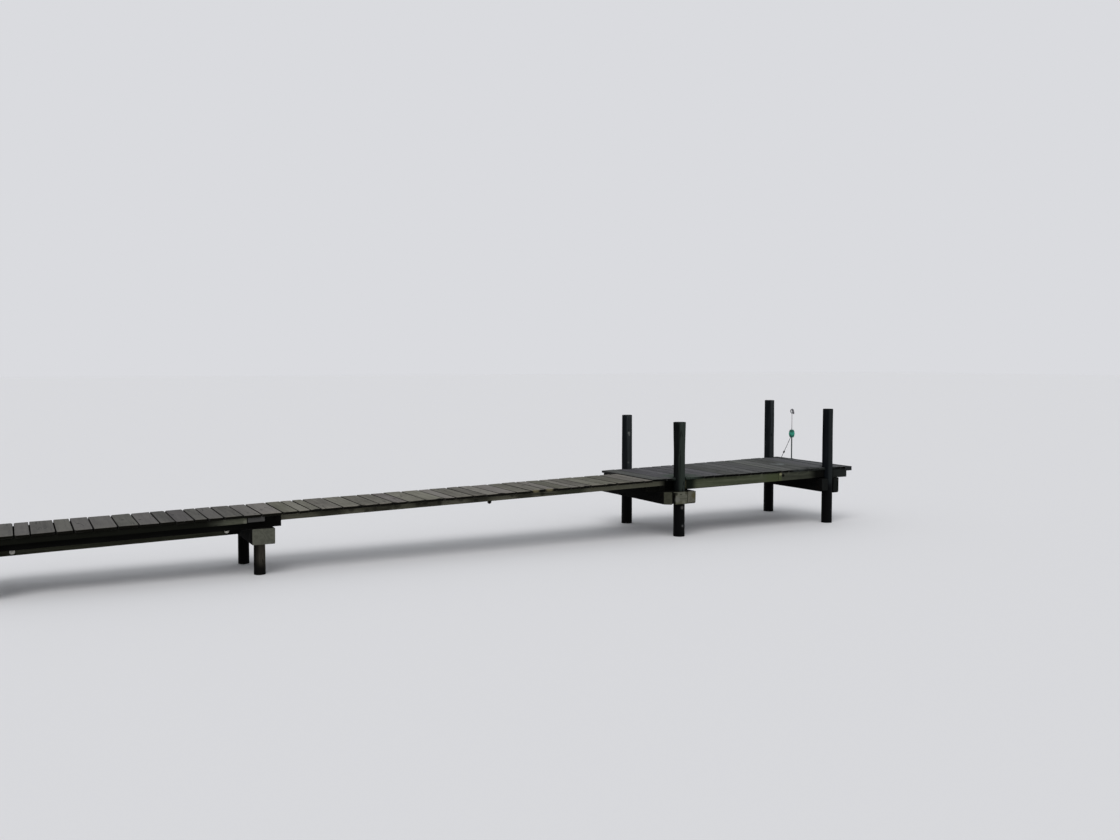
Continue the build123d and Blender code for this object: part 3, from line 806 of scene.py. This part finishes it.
def bolts(name, places, washer, nut, deep=0.010, finish=rusted_black):
    """Washers, six-sided nuts and the ends of bolts, each flat on the face that it stands on."""
    metal = bmesh.new()
    # Washer, nut and bolt's end: sides, radius, where each starts off the face, and its thickness
    stack = ((28, washer, -0.001, 0.005), (6, nut, 0.003, deep), (12, nut * 0.5, deep, 0.010))
    for at, facing in places:
        turn = Vector(facing).to_track_quat("Z", "Y").to_matrix().to_4x4()
        seat = Matrix.Translation(Vector(at)) @ turn
        for sides, radius, start, thick in stack:
            middle = Matrix.Translation((0, 0, start + thick / 2))
            disc(metal, seat @ middle, sides, radius, radius * 0.94, thick)
    show(metal, name, "pole_metal", finish)


for bent in ("inner", "outer"):
    places = []
    shore_low, shore_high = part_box(f"cross_beam_{bent}_shore")
    _, lake_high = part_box(f"cross_beam_{bent}_lake")
    for y in (near_pile, far_pile):
        for share in (0.3, 0.72):
            z = shore_low.z + share * (shore_high.z - shore_low.z)
            aside = y + (share - 0.5) * 0.05
            places.append(((shore_low.x, aside, z), (-1, 0, 0)))
            places.append(((lake_high.x, aside, z), (1, 0, 0)))
    bolts(f"{bent}_beam_bolts", places, washer=0.026, nut=0.015)

# Pale washers near both ends of the tie beam
tie_low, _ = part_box("tie_beam")
from_bent = 0.245
shore_washer = (shore_bent - from_bent, tie_low.y, 0.404)
landing_washer = (landing_bent + from_bent, tie_low.y, 0.350)
bolts(
    "tie_beam_washers", [(shore_washer, (0, -1, 0)), (landing_washer, (0, -1, 0))],
    washer=0.028, nut=0.014, finish=washer_grey,
)

# Bolts where the stringers of the two bays lap
lap = []
for side, out in (("near", -1), ("far", 1)):
    low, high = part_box(f"shore_stringer_{side}")
    face = low.y if out < 0 else high.y
    for x, depth in ((shore_bent + 0.150, 0.035), (shore_bent + 0.172, 0.085)):
        lap.append(((x, face, walkway_top(x) - board_thickness - depth), (0, out, 0)))
bolts("stringer_lap_bolts", lap, washer=0.015, nut=0.009)

# One stout bolt that hangs under the lake stringer
hanging_x = -0.074
stringer_depth = 0.067
stringer_row = row_over("lake_stringer_near")[2]
stringer_foot = walkway_top(hanging_x) - board_thickness - stringer_depth
bolts(
    "hanging_bolt", [((hanging_x, stringer_row, stringer_foot), (0, 0, -1))],
    washer=0.027, nut=0.024, deep=0.022,
)


# Line pole: rod, eye, wound line and stay

pole_low, pole_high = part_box("line_pole")
pole_x = (pole_low.x + pole_high.x) / 2
pole_y = (pole_low.y + pole_high.y) / 2
pole_over_deck = 0.687
deck_here = pole_high.z - pole_over_deck


def hoop(solid, centre, radius, thick, lean, steps, around=8):
    """A closed ring of round rod or line, tilted by lean; thick is half of the rod's thickness."""
    rings = []
    for step in range(steps):
        turn = math.tau * step / steps
        out = Vector((math.cos(turn), math.sin(turn), 0))
        ring = []
        for side in range(around):
            roll = math.tau * side / around
            spot = out * (radius + thick * math.cos(roll)) + Vector((0, 0, thick * math.sin(roll)))
            ring.append(solid.verts.new(Vector(centre) + lean @ spot))
        rings.append(ring)
    for one, two in zip(rings, rings[1:] + rings[:1]):
        for side in range(around):
            after = (side + 1) % around
            solid.faces.new((one[side], two[side], two[after], one[after]))


def pole_finish():
    """The pole: dark and moist below the wound line, pale where it thins out above."""
    finish = Finish("pole_rod")
    height = finish.part(finish.place, "z")
    drawn_out = (1.0, 1.0, 0.3)
    blotch = finish.mottle(finish.stretched(drawn_out), scale=60.0, detail=4.0, rough=0.6)
    upper = height.over(deck_here + 0.40, deck_here + 0.50)
    lower = finish.blend(blotch.over(0.4, 0.65), tint(30, 40, 40), tint(50, 58, 57))
    colour = finish.toned(lower, upper, (150, 144, 150))
    pits = finish.relief(blotch, depth=0.0004, strength=0.4)
    return finish.wire(
        Base_Color=colour, Roughness=0.6 + blotch * 0.2, Metallic=0.0, Normal=pits
    )


pole_metal = pole_finish()
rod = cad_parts["line_pole"]
rod.data.materials.clear()
rod.data.materials.append(pole_metal)

eye_low, eye_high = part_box("line_eye")
eye = bmesh.new()
ring_radius = (eye_high.x - eye_low.x) / 2
ring_wire = 0.0055
ring_middle = (pole_x, pole_y, eye_high.z - ring_radius)
upright = Matrix.Rotation(math.pi / 2, 3, "X")
hoop(eye, ring_middle, ring_radius - ring_wire, ring_wire, upright, steps=48, around=10)
# Socket and collar under the ring: where each starts, its thickness and its radius
for start, thick, radius in ((0.0, 0.009, 0.007), (0.0085, 0.004, 0.0058)):
    seat = Matrix.Translation((pole_x, pole_y, eye_low.z + start + thick / 2))
    disc(eye, seat, 24, radius, radius * 0.9, thick)
eye_metal = plain_metal("eye_metal", (58, 57, 64), (38, 37, 41), 0.6, 0.2)
show(eye, "pole_eye", "pole_metal", eye_metal, "line_eye")


def line_finish(name, dark, light, middle=None):
    """Fuzzy cord, faded paler in patches, with a painted highlight about the middle height of a
    wound line.
    """
    finish = Finish(name)
    fuzz = finish.mottle(finish.stretched(unstretched), scale=420.0, detail=3.0, rough=0.6)
    wear = finish.mottle(finish.stretched(unstretched), scale=26.0, detail=3.0, rough=0.6)
    amount = fuzz * 0.35 + wear.over(0.35, 0.7) * 0.4
    # A painted highlight about the middle height of a wound line
    if middle is not None:
        height = finish.part(finish.place, "z")
        amount = amount + abs(height - middle).over(0.040, 0.008) * 0.55
    colour = finish.blend(amount, tint(*dark), tint(*light))
    strands = finish.relief(fuzz, depth=0.0008, strength=0.6)
    return finish.wire(Base_Color=colour, Roughness=0.75, Normal=strands)


def leaning(*turns):
    """Turns about axes, as (angle, axis), the last one taken first."""
    first, second = [Matrix.Rotation(angle, 3, axis) for angle, axis in turns]
    return first @ second


# Dark lashing that hangs through the ring
line_half = 0.0036
lashing = bmesh.new()
pick = random.Random("lashing")
ring_foot = Vector((pole_x + 0.014, pole_y, eye_high.z - 2 * ring_radius))
for rise, side, radius in (
    (0.052, -0.004, 0.015), (0.034, 0.000, 0.016), (0.018, 0.008, 0.017), (0.004, 0.012, 0.015),
):
    lean = leaning((pick.uniform(-0.5, 0.5), "Z"), (pick.uniform(1.1, 1.5), "X"))
    hoop(lashing, ring_foot + Vector((side, 0, rise)), radius, line_half, lean, steps=32)
show(lashing, "eye_lashing", "line", line_finish("dark_lashing", (34, 34, 42), (66, 66, 78)))

# Line wound round the pole: flat turns with a belly, and a few that cross over them
reel_low, reel_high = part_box("line_reel")
reel_middle = (reel_low + reel_high) / 2
reel_depth = reel_high.z - reel_low.z
reel = bmesh.new()
pick = random.Random("reel")
reel_margin = 0.005
flat_turns = 19
crossing_turns = 7
widest = 0.0395
taper = 0.0135
for turn in range(flat_turns):
    share = (turn + 0.5) / flat_turns
    height = reel_low.z + reel_margin + share * (reel_depth - 2 * reel_margin)
    belly = widest - taper * abs(2 * share - 1) ** 2.2 + pick.uniform(-0.0012, 0.0006)
    lean = leaning((pick.uniform(-0.05, 0.05), "X"), (pick.uniform(-0.05, 0.05), "Y"))
    hoop(reel, (pole_x, pole_y, height), belly, line_half, lean, steps=40)
for turn in range(crossing_turns):
    lean = leaning((turn * 0.9, "Z"), (pick.uniform(0.55, 0.85), "X"))
    height = reel_middle.z + pick.uniform(-0.01, 0.01)
    hoop(reel, (pole_x, pole_y, height), radius=0.0405, thick=0.0034, lean=lean, steps=44)
core = Matrix.Translation(reel_middle)
disc(reel, core, sides=28, radius=0.030, top_radius=0.030, thick=reel_depth - 0.008)
reel_finish = line_finish("wound_green_line", (1, 50, 44), (52, 158, 134), reel_middle.z)
show(reel, "wound_line", "line", reel_finish, "line_reel")

# Three-stranded stay from the side of the wound line down to the deck
stay_low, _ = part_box("line_stay")
stay_inset = 1.222
stay_setback = 0.025
tie_height = 0.006
tie_reach = 0.021
foot_y = near_edge + stay_inset
foot_x = lake_tip - end_skew * stay_inset / platform_width - stay_setback
foot = Vector((foot_x, foot_y, stay_low.z + 0.001))
towards_foot = Vector((foot_x - pole_x, foot_y - pole_y, 0)).normalized()
head = Vector((pole_x, pole_y, reel_low.z + tie_height)) + towards_foot * tie_reach
stay = bmesh.new()
span = head - foot
side_on = span.orthogonal().normalized()
other_on = span.normalized().cross(side_on)


def round_stay(angle, radius):
    """The step from the stay's middle to one side of it."""
    return (side_on * math.cos(angle) + other_on * math.sin(angle)) * radius


strands, sides, steps, twists = 3, 6, 160, 22
lay_radius = 0.0021
strand_radius = 0.0024
for strand in range(strands):
    rings = []
    for step in range(steps + 1):
        share = step / steps
        lay = math.tau * (share * twists + strand / strands)
        middle = foot + span * share + round_stay(lay, lay_radius)
        rings.append([
            stay.verts.new(middle + round_stay(math.tau * side / sides, strand_radius))
            for side in range(sides)
        ])
    for one, two in zip(rings, rings[1:]):
        for side in range(sides):
            after = (side + 1) % sides
            stay.faces.new((one[side], two[side], two[after], one[after]))
stay_finish = line_finish("grey_green_stay", (22, 26, 30), (50, 57, 62))
show(stay, "pole_stay", "line", stay_finish, "line_stay")

# Dark knot on the stay, a little way up
knot_share = 0.27
knot = bmesh.new()
bmesh.ops.create_icosphere(knot, subdivisions=3, radius=1.0)
squash = Matrix.Diagonal((0.0135, 0.0135, 0.0200)).to_4x4()
turned = span.to_track_quat("Z", "Y").to_matrix().to_4x4()
seat = Matrix.Translation(foot + span * knot_share)
bmesh.ops.transform(knot, matrix=seat @ turned @ squash, verts=knot.verts)
for corner in knot.verts:
    corner.co += noise.noise_vector(corner.co * 240.0) * 0.0012
show(knot, "stay_knot", "line", line_finish("dark_knot", (8, 9, 13), (22, 22, 29)))


# Floor, light and camera

floor_mesh = bpy.data.meshes.new("floor")
reach = 160.0
floor_gap = 0.0008
floor_corners = [(-reach, -reach, 0), (reach, -reach, 0), (reach, reach, 0), (-reach, reach, 0)]
floor_mesh.from_pydata(floor_corners, [], [(0, 1, 2, 3)])
floor = bpy.data.objects.new("floor", floor_mesh)
floor.location.z = -floor_gap
bpy.context.scene.collection.objects.link(floor)
paper = Finish("pale_floor")
paper.wire(Base_Color=tint(226, 226, 229), Roughness=0.95)
floor_mesh.materials.append(paper.material)

world = bpy.data.worlds.new("soft_studio")
bpy.context.scene.world = world
world.use_nodes = True
world.node_tree.nodes.clear()
sky = Wiring(world.node_tree)
looks, glints, passes = [
    sky.node("ShaderNodeLightPath", output=f"Is {ray} Ray")
    for ray in ("Camera", "Glossy", "Transmission")
]
soft, pale = [
    sky.node("ShaderNodeBackground", None, {"Color": colour, "Strength": strength})
    for colour, strength in (((0.96, 0.98, 1.0, 1.0), 0.62), (tint(218, 219, 223), 1.0))
]
both = sky.node("ShaderNodeMixShader", None, {0: looks + glints + passes, 1: soft, 2: pale})
sky.node("ShaderNodeOutputWorld", None, {"Surface": both})

lamp = bpy.data.lights.new("soft_key", "SUN")
lamp.energy = 1.15
lamp.angle = math.radians(40)
lamp.color = (1.0, 0.985, 0.96)
key = bpy.data.objects.new("soft_key", lamp)
key.rotation_euler = Vector((-0.45, -0.55, 1.0)).to_track_quat("Z", "Y").to_euler()
bpy.context.scene.collection.objects.link(key)

lens = bpy.data.cameras.new("camera")
lens.sensor_width = 36.0
lens.sensor_fit = "HORIZONTAL"
lens.lens = 33.75
lens.clip_end = 1000.0
camera = bpy.data.objects.new("camera", lens)
camera.location = (-5.204, -12.170, 2.300)
camera.rotation_euler = (math.radians(86.811), 0.0, math.radians(-27.92))
bpy.context.scene.collection.objects.link(camera)
bpy.context.scene.camera = camera
bpy.context.scene.view_settings.view_transform = "Standard"
